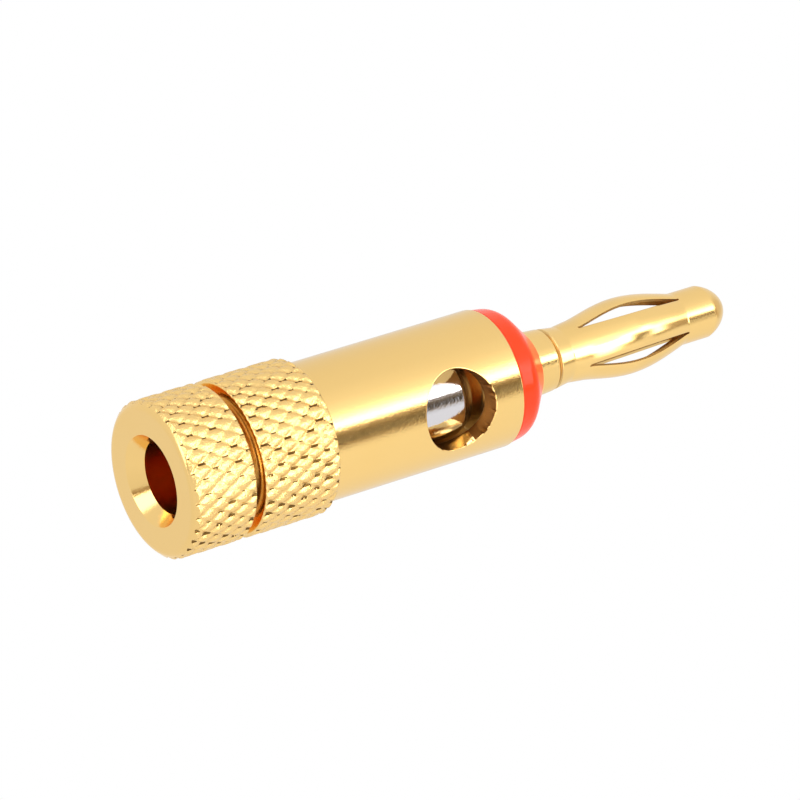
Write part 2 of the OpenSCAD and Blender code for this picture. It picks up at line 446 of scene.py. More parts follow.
# The scale at which a wave texture has one wave in each unit
ONE_WAVE = 2 * math.pi / 20


def per_mm(size):
    """The scale of a pattern whose marks are this many millimetres across."""
    return 1 / (size * MM)


def surface(name, shader_inputs):
    """A new material with one principled shader: the material, its tree, shader and coordinates."""
    material = bpy.data.materials.new(name)
    material.use_nodes = True
    tree = material.node_tree
    shader = tree.nodes["Principled BSDF"]
    for key, value in shader_inputs.items():
        shader.inputs[key].default_value = value
    return material, tree, shader, add_node(tree, "TexCoord").outputs["Object"]


def clouded(tree, shader, place, base, shade, size, detail=2.0):
    """Tints the shader from a colour to its shade, in clouds of that size in millimetres."""
    cloud = add_node(tree, "TexNoise", {}, {
        "Vector": place, "Scale": per_mm(size), "Detail": detail}).outputs["Fac"]
    tint = add_node(tree, "Mix", {"data_type": "RGBA"}, {
        "Factor": cloud, FIRST: (*base, 1), SECOND: (*[c * k for c, k in zip(base, shade)], 1)})
    tree.links.new(tint.outputs[MIXED], shader.inputs["Base Color"])
    return cloud


def grained(tree, shader, place, size, depth, detail=2.0, harshness=0.5, over=None):
    """Gives the shader a grain of that size and depth in millimetres, over other marks if any."""
    grain = add_node(tree, "TexNoise", {}, {
        "Vector": place, "Scale": per_mm(size), "Detail": detail, "Roughness": harshness})
    bump = add_node(tree, "Bump", {}, {
        "Height": grain.outputs["Fac"], "Strength": 1.0, "Distance": depth * MM})
    if over:
        tree.links.new(over, bump.inputs["Normal"])
    tree.links.new(bump.outputs["Normal"], shader.inputs["Normal"])


def gold_plating(name, finish, smooth, rough, grain_depth):
    """Gold with a faint cloud in its tint and its roughness, over a grain of that depth.

    The real grain, about 0.03 mm wide, is too fine to show, so it is drawn 0.13 mm wide."""
    material, tree, shader, place = surface(name, {"Metallic": 1.0})
    cloud = clouded(tree, shader, place, finish.gold, (1.0, 0.97, 0.9), 4, detail=3.0)
    gloss = add_node(tree, "MapRange", {}, {
        "Value": cloud, "To Min": smooth, "To Max": rough})
    tree.links.new(gloss.outputs["Result"], shader.inputs["Roughness"])
    grained(tree, shader, place, 0.13, grain_depth, harshness=0.6)
    return material


def gold_plated_brass(finish):
    """Turned brass, bright dipped and gold plated: a warm mirror whose reflections have grainy
    edges, because the plating follows the fine grain of the turned surface."""
    return gold_plating("gold_plated_brass", finish, 0.1, 0.15, 0.0065)


def gold_plated_knurl(finish):
    """The same plating over a rolled knurl: the rolls tear the surface, so reflections are
    blurred and broken into flecks."""
    return gold_plating("gold_plated_knurl", finish, 0.24, 0.3, 0.04)


def gold_plated_pin(finish):
    """The same plating over a pin that the spring's forming has burnished: nearly no grain."""
    return gold_plating("gold_plated_pin", finish, 0.16, 0.2, 0.002)


def gold_flash(name, gold, roughness):
    """A thin, patchy gold of that colour over tool marks, drawn 0.2 mm wide so that they show."""
    material, tree, shader, place = surface(name, {"Metallic": 1.0, "Roughness": roughness})
    clouded(tree, shader, place, gold, (0.8, 0.8, 0.8), 0.9)
    grained(tree, shader, place, 0.2, 0.012)
    return material


def gold_bore_painted_shade(finish):
    """Drilled walls and deep bores get only a thin flash of gold over the cut brass: dull, with
    soft reflections, and darkened to brown as painted shade in these recesses."""
    return gold_flash("gold_bore_painted_shade", finish.bore, 0.45)


def gold_flashed_slot(finish):
    """Sawn slots, threads and open cavities are plated better: a darker gold, soft and warm."""
    return gold_flash("gold_flashed_slot", finish.slot, 0.35)


def pit_painted_shade(finish):
    """Painted shade: dark flecks on the shaded side of the knurl's deeper pits."""
    return gold_flash("pit_painted_shade", finish.pit, 0.4)


def nickel_plated_brass(finish):
    """Turned brass with bright nickel: a cool grey mirror with faint turning lines across the axis.

    The real lines, about 0.05 mm apart, are too fine to show, so they are drawn 0.57 mm apart."""
    material, tree, shader, place = surface("nickel_plated_brass", {
        "Base Color": (*finish.nickel, 1), "Metallic": 1.0, "Roughness": 0.1})
    lines = add_node(tree, "TexWave", {"bands_direction": "Z"}, {
        "Vector": place, "Scale": per_mm(0.5655) * ONE_WAVE, "Distortion": 1.5, "Detail": 1.0})
    turned = add_node(tree, "Bump", {}, {
        "Height": lines.outputs["Fac"], "Strength": 0.4, "Distance": 0.002 * MM})
    grained(tree, shader, place, 0.14, 0.006, over=turned.outputs["Normal"])
    return material


def moulded_red_abs(finish):
    """Injection-moulded ABS: an even orange-red with a soft gloss and a faint orange-peel skin."""
    material, tree, shader, place = surface("moulded_red_abs", {
        "Roughness": 0.2, "IOR": 1.54, "Specular IOR Level": 0.24, "Subsurface Weight": 0.15,
        "Subsurface Radius": (1.0, 0.25, 0.1), "Subsurface Scale": 0.4 * MM})
    clouded(tree, shader, place, finish.red, (0.95, 0.85, 0.8), 2.5)
    grained(tree, shader, place, 0.3, 0.004, detail=1.0)
    return material


# Makers of a gold piece's materials, in the order of the finishes' numbers
KNURLED_GOLD = (
    gold_plated_brass, gold_bore_painted_shade, gold_plated_knurl, pit_painted_shade, gold_flashed_slot)


# Pieces


class PLUG_OT_rear_knob(bpy.types.Operator):
    """Knurled knob with its hollow, threaded shank and the flared neck that holds the clamp tip"""

    bl_idname = "plug.rear_knob"
    bl_label = "Rear knob"

    def execute(self, context):
        s = context.scene.plug_sizes
        shank_r = s.thread_major / 2
        knob_end = KNOB_REAR + s.knob_length
        thread_end = COLLAR_REAR + s.thread_engaged
        pilot_end = TIP_REAR - s.swivel_gap
        stop = TIP_REAR - s.stop_from_tip
        stop_taper = (s.cable_bore - s.wire_bore) / 2
        neck_r = s.neck_width / 2
        profile = rounded([
            (s.mouth_width / 2, KNOB_REAR, 0.05),
            (GRIP_R - s.knob_edge, KNOB_REAR, 0.5),
            (GRIP_R, KNOB_REAR + s.knob_edge, 0.15),
            (GRIP_R, knob_end, 0.25),
            (shank_r, knob_end, 0.08),
            (shank_r, thread_end, 0.3),
            (TIP_R, thread_end, 0.05),
            (TIP_R, pilot_end, 0.1),
            (neck_r, pilot_end, 0.05),
            (neck_r, LIP_FRONT - s.lip_length, 0.1),
            (neck_r + s.lip_flare, LIP_FRONT, 0.05),
            (s.wire_bore / 2, LIP_FRONT, 0.05),
            (s.wire_bore / 2, stop + stop_taper, 0.1),
            (s.cable_bore / 2, stop, 0.1),
            (s.cable_bore / 2, KNOB_REAR + s.mouth_depth, 0.06),
        ])
        grip_skin, thread_skin = 0.6 * MM, 0.3 * MM
        profile = finer(profile, KNOB_REAR, knob_end, GRIP_R - grip_skin, KNURL_STEP)
        profile = finer(profile, knob_end, thread_end, shank_r - thread_skin, THREAD_STEP)
        knurl = Knurl(s, KNOB_REAR, knob_end, 1)
        rolled_r = GRIP_R - 0.3 * MM
        rolled_from, rolled_to = KNOB_REAR + s.knob_edge / 2, knob_end - 0.03 * MM
        bore_r = s.cable_bore / 2 + 0.01 * MM
        shank_from = knob_end + 0.02 * MM

        def finish(r, z):
            if r > rolled_r and rolled_from < z < rolled_to:
                return knurl.finish(z)
            return CLEAN if z > (stop if r < bore_r else shank_from) else 0

        skin = revolve(profile, [knurl.cut, thread(s, knob_end, thread_end)], finish=finish)
        skin.piece(
            context, "knurled_knob", "knob", ["rear_knob"], "gold_plating", *KNURLED_GOLD)
        return {"FINISHED"}


class PLUG_OT_clamp_tip(bpy.types.Operator):
    """Nickel-plated sleeve on the screw's neck, with a tapered front"""

    bl_idname = "plug.clamp_tip"
    bl_label = "Clamp tip"

    def execute(self, context):
        s = context.scene.plug_sizes
        bore_r = s.neck_width / 2 + s.swivel_gap
        skin = revolve(rounded([
            (bore_r, TIP_REAR, 0.04),
            (TIP_R, TIP_REAR, 0.08),
            (TIP_R, TIP_FRONT - s.tip_taper, 0.25),
            (s.tip_face / 2, TIP_FRONT, 0.1),
            (bore_r + s.lip_flare, TIP_FRONT, 0.03),
            (bore_r + s.lip_flare, LIP_FRONT, 0.02),
            (bore_r, LIP_FRONT - s.lip_length, 0.05),
        ]))
        skin.piece(
            context, "swivel_tip", "clamp", ["clamp_tip"], "nickel_plating", nickel_plated_brass)
        return {"FINISHED"}


def window_cells(middle, half):
    """The columns of the barrel's grid that a window's patch takes up."""
    return [(middle + j) % COLUMNS for j in range(-half, half)]


def window_loop(rows, low, high, middle, half):
    """The grid's points around a window's patch, in order, starting at its lower left."""
    left, right = (middle - half) % COLUMNS, (middle + half) % COLUMNS
    across = window_cells(middle, half)
    loop = [rows[low][j] for j in across]
    loop += [rows[k][right] for k in range(low, high)]
    loop += [rows[high][j] for j in [right] + across[:0:-1]]
    loop += [rows[k][left] for k in range(high, low, -1)]
    return loop


class PLUG_OT_barrel(bpy.types.Operator):
    """Knurled collar and smooth barrel with a round cable window on both sides"""

    bl_idname = "plug.barrel"
    bl_label = "Barrel"

    patch_half_columns = 72
    patch_half_height = 3.1 * MM
    patch_rows = 20
    # Rows of points, as shares of the way from a patch's border to the edge and through the hole
    lead_shares = (0.08, 0.17, 0.26, 0.35, 0.44, 0.53, 0.62, 0.71, 0.8, 0.89, 0.95, 0.985)
    wall_shares = (0.06, 0.2, 0.4, 0.6, 0.8, 0.94)
    edge_steps = 4
    # The wall is painted with shade from this sine of the angle around the hole onwards
    rough_from = 0.45
    # The ragged edge: its depth, the middle of its side, its noise, and how fast it fades inwards
    chip_depth = 0.5 * MM
    chip_turn = math.radians(40)
    chip_around, chip_seed, chip_least = 9.1, 1.3, 0.1
    chip_fade = 3

    def profile(self, s, window_z):
        """The barrel's section, and the places in it where the windows' rows start."""
        collar_front = COLLAR_REAR + s.collar_length
        cavity = BARREL_FRONT - s.front_wall
        bore_edge = 0.3 * MM
        barrel_r, pilot_r = s.barrel_width / 2, s.pilot_bore / 2
        thread_r, rivet_r = s.thread_bore / 2, s.rivet_width / 2
        low, high = window_z - self.patch_half_height, window_z + self.patch_half_height
        ladder = np.linspace(low, high, self.patch_rows + 1)
        rear = rounded([
            (thread_r + bore_edge, COLLAR_REAR, 0.05),
            (GRIP_R, COLLAR_REAR, 0.22),
            (GRIP_R, collar_front, 0.45),
            (barrel_r, collar_front, 0.06),
            (barrel_r, low, 0),
        ], closed=False)
        rear = finer(rear, COLLAR_REAR, collar_front, barrel_r + 0.01 * MM, KNURL_STEP)
        front = rounded([
            (barrel_r, high, 0),
            (barrel_r, BARREL_FRONT, 0.1),
            (rivet_r, BARREL_FRONT, 0.03),
            (rivet_r, cavity, 0.03),
            (pilot_r, cavity, 0.08),
            (pilot_r, high, 0),
        ], closed=False)
        inside = rounded([
            (pilot_r, low, 0),
            (pilot_r, COLLAR_REAR + s.thread_bore_depth, 0.05),
            (thread_r, COLLAR_REAR + s.thread_bore_depth, 0.05),
            (thread_r, COLLAR_REAR + bore_edge, 0.03),
            (thread_r + bore_edge, COLLAR_REAR, 0.05),
        ], closed=False)[:-1]
        outer_at = len(rear) - 1
        points = rear + [(barrel_r, z) for z in ladder[1:-1]] + front
        inner_at = len(points) - 1
        points += [(pilot_r, z) for z in ladder[-2:0:-1]] + inside
        return points, outer_at, inner_at

    def execute(self, context):
        s = context.scene.plug_sizes
        wall_r = s.barrel_width / 2
        window_z = BARREL_FRONT - s.window_back
        points, outer_at, inner_at = self.profile(s, window_z)
        collar_front = COLLAR_REAR + s.collar_length
        knurl = Knurl(s, COLLAR_REAR, collar_front, 2)
        rolled_r, bore_r = wall_r + 0.2 * MM, wall_r - 0.1 * MM
        rolled_from, rolled_to = COLLAR_REAR + 0.02 * MM, collar_front - 0.03 * MM
        bore_to = BARREL_FRONT - 0.1 * MM

        def finish(r, z):
            if r > rolled_r and rolled_from < z < rolled_to:
                return knurl.finish(z)
            if r < bore_r and COLLAR_REAR < z < bore_to:
                # Painted shade: the bore behind the windows, deep in the collar, gets the dark
                # brown bore finish
                return DULL if z < window_z else CLEAN
            return 0

        skin = Skin()
        rows = [skin.row(ring_points(r, z, [knurl.cut])) for r, z in points]
        half, steps = self.patch_half_columns, self.patch_rows
        middles = (COLUMNS * 3 // 4, COLUMNS // 4)
        open_cells = {j for middle in middles for j in window_cells(middle, half)}
        for k in range(len(rows)):
            in_patch = outer_at <= k < outer_at + steps or inner_at <= k < inner_at + steps
            n = (k + 1) % len(rows)
            r, z = [(p + q) / 2 for p, q in zip(points[k], points[n])]
            skip = open_cells if in_patch else ()
            skin.strip(rows[k], rows[n], skip=skip, finish=finish(r, z))
        flipped = rows[inner_at:inner_at + steps + 1][::-1]
        for middle in middles:
            outer = window_loop(rows, outer_at, outer_at + steps, middle, half)
            inner = window_loop(flipped, 0, steps, middle, half)
            self.window(skin, s, outer, inner, middle, window_z)
        obj = skin.piece(
            context, "window_barrel", "plug_body", ["barrel"], "gold_plating", *KNURLED_GOLD)
        # The patches around the windows shade as one cylinder with the rest of the wall
        on_wall = 1e-3 * MM
        obj.data.normals_split_custom_set_from_vertices([
            (x / wall_r, y / wall_r, 0) if abs(math.hypot(x, y) - wall_r) < on_wall else (0, 0, 0)
            for x, y, z in skin.points])
        return {"FINISHED"}

    def window(self, skin, s, outer, inner, middle, window_z):
        """The curved wall around one window, its rounded edges and the hole's own wall."""
        turn = 2 * math.pi * middle / COLUMNS
        out = Vector((math.cos(turn), math.sin(turn), 0))
        side = Vector((-math.sin(turn), math.cos(turn), 0))
        hole_r, edge = s.window_width / 2, s.window_round

        def polar(index):
            """Angle and distance of a point from the hole's middle, seen from outside."""
            p = Vector(skin.points[index])
            x, z = p.dot(side), p.z - window_z
            return math.atan2(z, x), math.hypot(x, z)

        def spot(depth, x, z):
            """The point that lies that far out, to the side and ahead of the hole's middle."""
            p = out * depth + side * x
            return (p.x, p.y, window_z + z)

        def chipped(phi):
            """The drill's exit leaves the front edge a little ragged on one side."""
            share = max(0, math.cos(phi - self.chip_turn))
            x, y = self.chip_around * math.cos(phi), self.chip_around * math.sin(phi)
            height = noise.noise((x, y, self.chip_seed * turn)) - self.chip_least
            return self.chip_depth * share * max(0, height)

        def lead(loop, r, sink, burr, finish):
            """Rows from the grid's loop to the rounded edge, spread evenly over the curve.

            The edge sinks inwards or, with -1, outwards. Returns its last row and the angles."""
            spokes = [polar(i) for i in loop]
            phis = [phi for phi, far in spokes]
            ends = [[
                (math.asin(min(1, max(-1, rho * math.cos(phi) / r))), rho * math.sin(phi))
                for rho in (far, hole_r + edge)] for phi, far in spokes]
            made = [loop]
            for t in self.lead_shares:
                row = []
                for (a, y), (b, z) in ends:
                    turned = a + (b - a) * t
                    row.append(spot(r * math.cos(turned), r * math.sin(turned), y + (z - y) * t))
                made.append(skin.row(row))
            for k in range(self.edge_steps + 1):
                q = math.radians(90) * k / self.edge_steps
                row = []
                for phi in phis:
                    rho = hole_r + burr(phi) * (k > 0) + edge * (1 - math.sin(q))
                    x = rho * math.cos(phi)
                    depth = math.sqrt(max(0, r * r - x * x)) - sink * edge * (1 - math.cos(q))
                    row.append(spot(depth, x, rho * math.sin(phi)))
                made.append(skin.row(row))
            for a, b in zip(made, made[1:]):
                skin.strip(a, b, finish=finish)
            return made[-1], phis

        rim, phis = lead(outer, s.barrel_width / 2, 1, chipped, 0)
        root, inner_phis = lead(inner, s.pilot_bore / 2, -1, lambda phi: 0, CLEAN)
        wall = [rim]
        for t in self.wall_shares:
            row = []
            for i in range(len(rim)):
                a, b = phis[i], inner_phis[i]
                b += 2 * math.pi * round((a - b) / (2 * math.pi))
                phi = a + (b - a) * t
                top, low = [Vector(skin.points[ends[i]]).dot(out) for ends in (rim, root)]
                rho = hole_r + chipped(phi) * max(0, 1 - self.chip_fade * t)
                row.append(spot(top + (low - top) * t, rho * math.cos(phi), rho * math.sin(phi)))
            wall.append(skin.row(row))
        wall.append(root)
        # Painted light and shade: the rear of the hole's wall, where light falls, stays plain gold,
        # and its front is painted dark brown as shade
        finish = np.where(np.sin(phis) < self.rough_from, 0, DULL)
        for a, b in zip(wall, wall[1:]):
            skin.strip(a, b, finish=finish)


class PLUG_OT_colour_ring(bpy.types.Operator):
    """Moulded ring that marks the pole, with a drafted wall, a soft rim and a front cone"""

    bl_idname = "plug.colour_ring"
    bl_label = "Colour ring"

    def execute(self, context):
        s = context.scene.plug_sizes
        inner_r = s.stem_width / 2 + PRESS_ROOM
        corners = [
            (inner_r, BARREL_FRONT, 0.05),
            (RING_R, BARREL_FRONT, 0.1),
            (s.ring_rim / 2, BARREL_FRONT + s.ring_wall, 1.1),
            (s.ring_flat / 2, RING_FRONT, 0.12),
            (inner_r, RING_FRONT, 0.04),
        ]
        # Its wide round takes more steps than the edges of the other pieces
        skin = revolve(rounded(corners, step_angle=math.radians(8)))
        skin.piece(
            context, "pole_ring", "plug_body", ["colour_ring"], "red_plastic", moulded_red_abs)
        return {"FINISHED"}


class PLUG_OT_pin_stem(bpy.types.Operator):
    """Turned stem, riveted in the barrel's front wall, that carries the ring and the spring pin"""

    bl_idname = "plug.pin_stem"
    bl_label = "Pin stem"

    head_steps = 6

    def execute(self, context):
        s = context.scene.plug_sizes
        cavity = BARREL_FRONT - s.front_wall
        front_r = s.stem_front / 2
        spigot_r = s.pin_bore / 2 - PRESS_ROOM
        shares = [k / self.head_steps for k in range(self.head_steps + 1)]
        corners = [(RIVET_HEAD_R * t, RIVET_REAR + s.rivet_crown * t ** 2, 0) for t in shares] + [
            (RIVET_HEAD_R, cavity, 0.02),
            (s.rivet_width / 2, cavity, 0.02),
            (s.rivet_width / 2, BARREL_FRONT, 0.02),
            (s.stem_width / 2, BARREL_FRONT, 0.02),
            (s.stem_width / 2, RING_FRONT, 0.4),
            (front_r, PIN_REAR - s.joint_edge, 0.06),
            (front_r - s.joint_edge, PIN_REAR, 0.02),
            (spigot_r, PIN_REAR, 0.02),
            (spigot_r, SPIGOT_FRONT, 0.25),
            (0, SPIGOT_FRONT, 0),
        ]

        def finish(r, z):
            return DULL if z > PIN_REAR - s.joint_edge or z < BARREL_FRONT else 0

        skin = revolve(rounded(corners, closed=False), closed=False, finish=finish)
        skin.piece(
            context, "turned_stem", "plug_body", ["pin_stem"], "gold_plating",
            gold_plated_brass, gold_flashed_slot)
        return {"FINISHED"}


class PLUG_OT_spring_pin(bpy.types.Operator):
    """Hollow pin with a round nose, sawn into four leaves that bulge outwards"""

    bl_idname = "plug.spring_pin"
    bl_label = "Spring pin"

    leaf_columns = 18
    slot_columns = 4
    leaf_rows = 56
    # Share by which a leaf's columns crowd towards its edges
    crowding = 0.35
    # Powers that shape a leaf's bulge behind its crest and ahead of it
    rise_ease = 1.25
    fall_ease = 1.05
    # Depth and power of the soft edge that the saw leaves along a leaf
    edge_depth, edge_power = 0.04 * MM, 24
    dome_steps = 28
    dome_power = 1.35
    sharp_angle = math.radians(50)
    # A row of points this far ahead of the slots keeps the nose straight
    slot_support = 0.08 * MM
    # The bore ends in the drill's cone: shares of its radius, and heights ahead of slots and nose
    cone_widths = (0.98, 0.5)
    cone_start, cone_end = 0.4 * MM, 0.3 * MM

    def columns(self, s):
        """For each column of points: its leaf's middle, its turn from there, and its place across
        the leaf from -1 to 1, which is missing in a slot."""
        waist_r = s.pin_waist / 2
        cut, off = math.asin(s.slot_width / 2 / waist_r), math.asin(s.saw_off / waist_r)
        slots = [math.radians(45) - off, math.radians(135) - off, math.radians(225) + off,
                 math.radians(315) + off]
        made = []
        for leaf, end in enumerate(slots):
            start = slots[leaf - 1] - (2 * math.pi if leaf == 0 else 0)
            mid, half = (start + end) / 2 + s.leaf_turn - math.pi / 2, (end - start) / 2 - cut
            for j in range(self.leaf_columns + 1):
                share = 2 * j / self.leaf_columns - 1
                crowded = math.sin(share * math.pi / 2)
                eased = crowded * self.crowding + share * (1 - self.crowding)
                made.append((mid, half * eased, eased))
            for j in range(1, self.slot_columns):
                made.append((mid, half + 2 * cut * j / self.slot_columns, None))
        return made

    def profiles(self, s):
        """The pin's outside and inside, and the rows where its slots start and end."""
        slot = PIN_REAR + s.slot_start
        slot_end = slot + s.slot_length
        nose = PIN_TIP - s.dome_height
        base_r, waist_r, nose_r = s.pin_base / 2, s.pin_waist / 2, s.nose_width / 2
        bore_r, dome_r, root_r = s.pin_bore / 2, s.dome_width / 2, waist_r + s.leaf_flare
        base = rounded([
            (base_r - s.joint_edge, PIN_REAR, 0),
            (base_r, PIN_REAR + s.joint_edge, 0.05),
            (waist_r, PIN_REAR + s.pin_taper, 0.25),
            (root_r, slot, 0),
        ], closed=False)
        stations = [k / self.leaf_rows for k in range(1, self.leaf_rows)]
        leaf = [(root_r + (nose_r - root_r) * t, slot + s.slot_length * t) for t in stations]
        dome = []
        for k in range(1, self.dome_steps):
            rise = math.sin(math.radians(90) * k / self.dome_steps)
            width = math.sqrt(1 - rise ** self.dome_power)
            dome.append((dome_r * width, nose + s.dome_height * rise))
        shoulder = rounded([
            (nose_r, slot_end, 0),
            (nose_r, slot_end + self.slot_support, 0),
            (nose_r, nose, 0.03),
            (dome_r, nose, 0.02),
            (*dome[0], 0),
        ], closed=False)[:-1]
        inside = [(bore_r, z) for r, z in base[:-1]]
        inside += [(r - s.leaf_wall, z) for r, z in base[-1:] + leaf + [(nose_r, slot_end)]]
        inside += [(bore_r * width, z) for width, z in zip(
            self.cone_widths, (slot_end + self.cone_start, nose))]
        return base + leaf + shoulder + dome, inside, len(base) - 1, len(base) + len(leaf)

    def bulge(self, s, z):
        """How far the leaves are pushed out at that height."""
        t = (z - PIN_REAR - s.slot_start) / s.slot_length
        ease = self.rise_ease if t < 0.5 else self.fall_ease
        return s.leaf_bulge * math.sin(math.pi * t) ** ease

    def execute(self, context):
        s = context.scene.plug_sizes
        columns = self.columns(s)
        outer, inner, first, last = self.profiles(s)
        skin = Skin()

        def wall(profile, edge_depth):
            """Rows of points along a profile, pushed out between the slots' ends."""
            rows = []
            for k, (r, z) in enumerate(profile):
                row = []
                for mid, away, share in columns:
                    push = edge = 0
                    if share is not None and first < k < last:
                        push, edge = self.bulge(s, z), edge_depth * abs(share) ** self.edge_power
                    out, across = (r - edge) * math.cos(away) + push, (r - edge) * math.sin(away)
                    row.append((
                        math.cos(mid) * out - math.sin(mid) * across,
                        math.sin(mid) * out + math.cos(mid) * across, z))
                rows.append(skin.row(row))
            return rows

        outside, inside = wall(outer, self.edge_depth), wall(inner, -self.edge_depth)
        count = len(columns)
        open_columns = {j for j in range(count) if columns[j][2] is None}
        gaps = {j for j in range(count) if {j, (j + 1) % count} & open_columns}
        for rows in (outside, inside):
            for k in range(len(rows) - 1):
                bare = rows is inside or outer[k + 1][1] < PIN_REAR + s.joint_edge
                skip = gaps if first <= k < last else ()
                skin.strip(rows[k], rows[k + 1], skip=skip, finish=DULL if bare else 0)
        bore_end = PIN_TIP - s.dome_height + self.cone_end
        skin.strip(outside[-1], skin.row([(0, 0, PIN_TIP)]))
        skin.strip(inside[-1], skin.row([(0, 0, bore_end)]), finish=DULL)
        skin.strip(outside[0], inside[0], finish=DULL)
        # The slots' ends, and then their sides
        for k in (first, last):
            a, b = outside[k], inside[k]
            for j in sorted(gaps):
                n = (j + 1) % count
                skin.face((a[j], a[n], b[n], b[j]), DULL)
        for j in range(count):
            if j in open_columns or not {j, (j - 1) % count} & gaps:
                continue
            for k in range(first, last):
                n = k + 1
                skin.face((outside[k][j], outside[n][j], inside[n][j], inside[k][j]), DULL)
        obj = skin.piece(
            context, "lantern_pin", "plug_body", ["spring_pin"], "gold_plating",
            gold_plated_pin, gold_flashed_slot)
        obj.data.set_sharp_from_angle(angle=self.sharp_angle)
        return {"FINISHED"}


# Stage

# The brightest light of the surround. Its colour ramps hold shares of it, because they end at 1.
PEAK = 6.0
# Light on matt surfaces, and the white that the camera sees
MATT_LIGHT, WHITE = 0.8, 1.0
# What full warmth takes off red, green and blue
WARMTH = (0, 0.25, 0.5)

# The surround in bands from below to above. Each band has the sines of elevation that it fades in
# over, and stops along the turn from the camera: degrees downwards in the picture, brightness and
# warmth.
TENT = (
    (-1, -1, (
        (-180, 0.88, 0), (-75, 0.92, 0), (-62, 2.8, 0), (-27, 2.8, 0), (-22, 0.35, 1),
        (-13, 0.4, 1), (-6, 0.85, 0), (60, 0.92, 0), (180, 0.88, 0))),
    (-0.2, -0.02, (
        (-180, 0.9, 0), (-60, 0.92, 0), (-20, 1.1, 0), (-10, 2, 0), (2, 2, 0), (6, 1.3, 0),
        (9, 5.5, 0), (40, 5.5, 0), (55, 1, 0), (180, 0.9, 0))),
    (0.18, 0.3, (
        (-180, 0.9, 0), (-60, 0.92, 0), (-30, 1.05, 0), (-12, 1.5, 0), (-4, 2.2, 0), (4, 5.5, 0),
        (29, 5.5, 0), (32, 0.5, 0.8), (40, 0.55, 0.8), (46, 1, 0), (180, 0.9, 0))),
    (0.375, 0.405, (
        (-180, 0.8, 0), (-115, 0.86, 0), (-60, 0.93, 0), (-35, 1.05, 0), (-20, 1.3, 0),
        (-10, 1.8, 0), (-4, 2.8, 0), (0, 4.6, 0), (7, 4.6, 0), (10, 0.7, 0.5), (17, 0.28, 1.1),
        (24, 0.07, 1.4), (33, 0.08, 1.4), (37, 0.5, 0.8), (42, 0.88, 0), (48, 1.03, 0), (95, 1, 0),
        (140, 0.9, 0), (180, 0.8, 0))),
    (0.535, 0.555, (
        (-180, 0.85, 0), (-40, 0.95, 0), (-15, 1.2, 0), (-8, 4.6, 0), (8, 4.6, 0), (11, 0.1, 1),
        (22, 0.15, 1), (29, 1, 0), (180, 0.85, 0))),
    (0.68, 0.71, (
        (-180, 0.85, 0), (-40, 0.95, 0), (-20, 1.1, 0), (-6, 1.8, 0), (3, 4.6, 0), (33, 4.6, 0),
        (37, 0.2, 1), (45, 0.25, 1), (51, 1, 0), (180, 0.85, 0))),
    (0.78, 0.82, (
        (-180, 0.85, 0), (-40, 0.95, 0), (-15, 1.2, 0), (-9, 3, 0), (8, 3, 0), (14, 0.4, 0.7),
        (45, 0.4, 0.7), (52, 1, 0), (180, 0.85, 0))),
    (0.89, 0.93, (
        (-180, 0.8, 0), (-90, 0.85, 0), (-20, 0.75, 0.5), (20, 0.55, 0.8), (70, 0.6, 0.8),
        (120, 0.8, 0), (180, 0.8, 0))),
    (0.94, 0.985, ((-180, 0.75, 0.3), (180, 0.75, 0.3))),
)


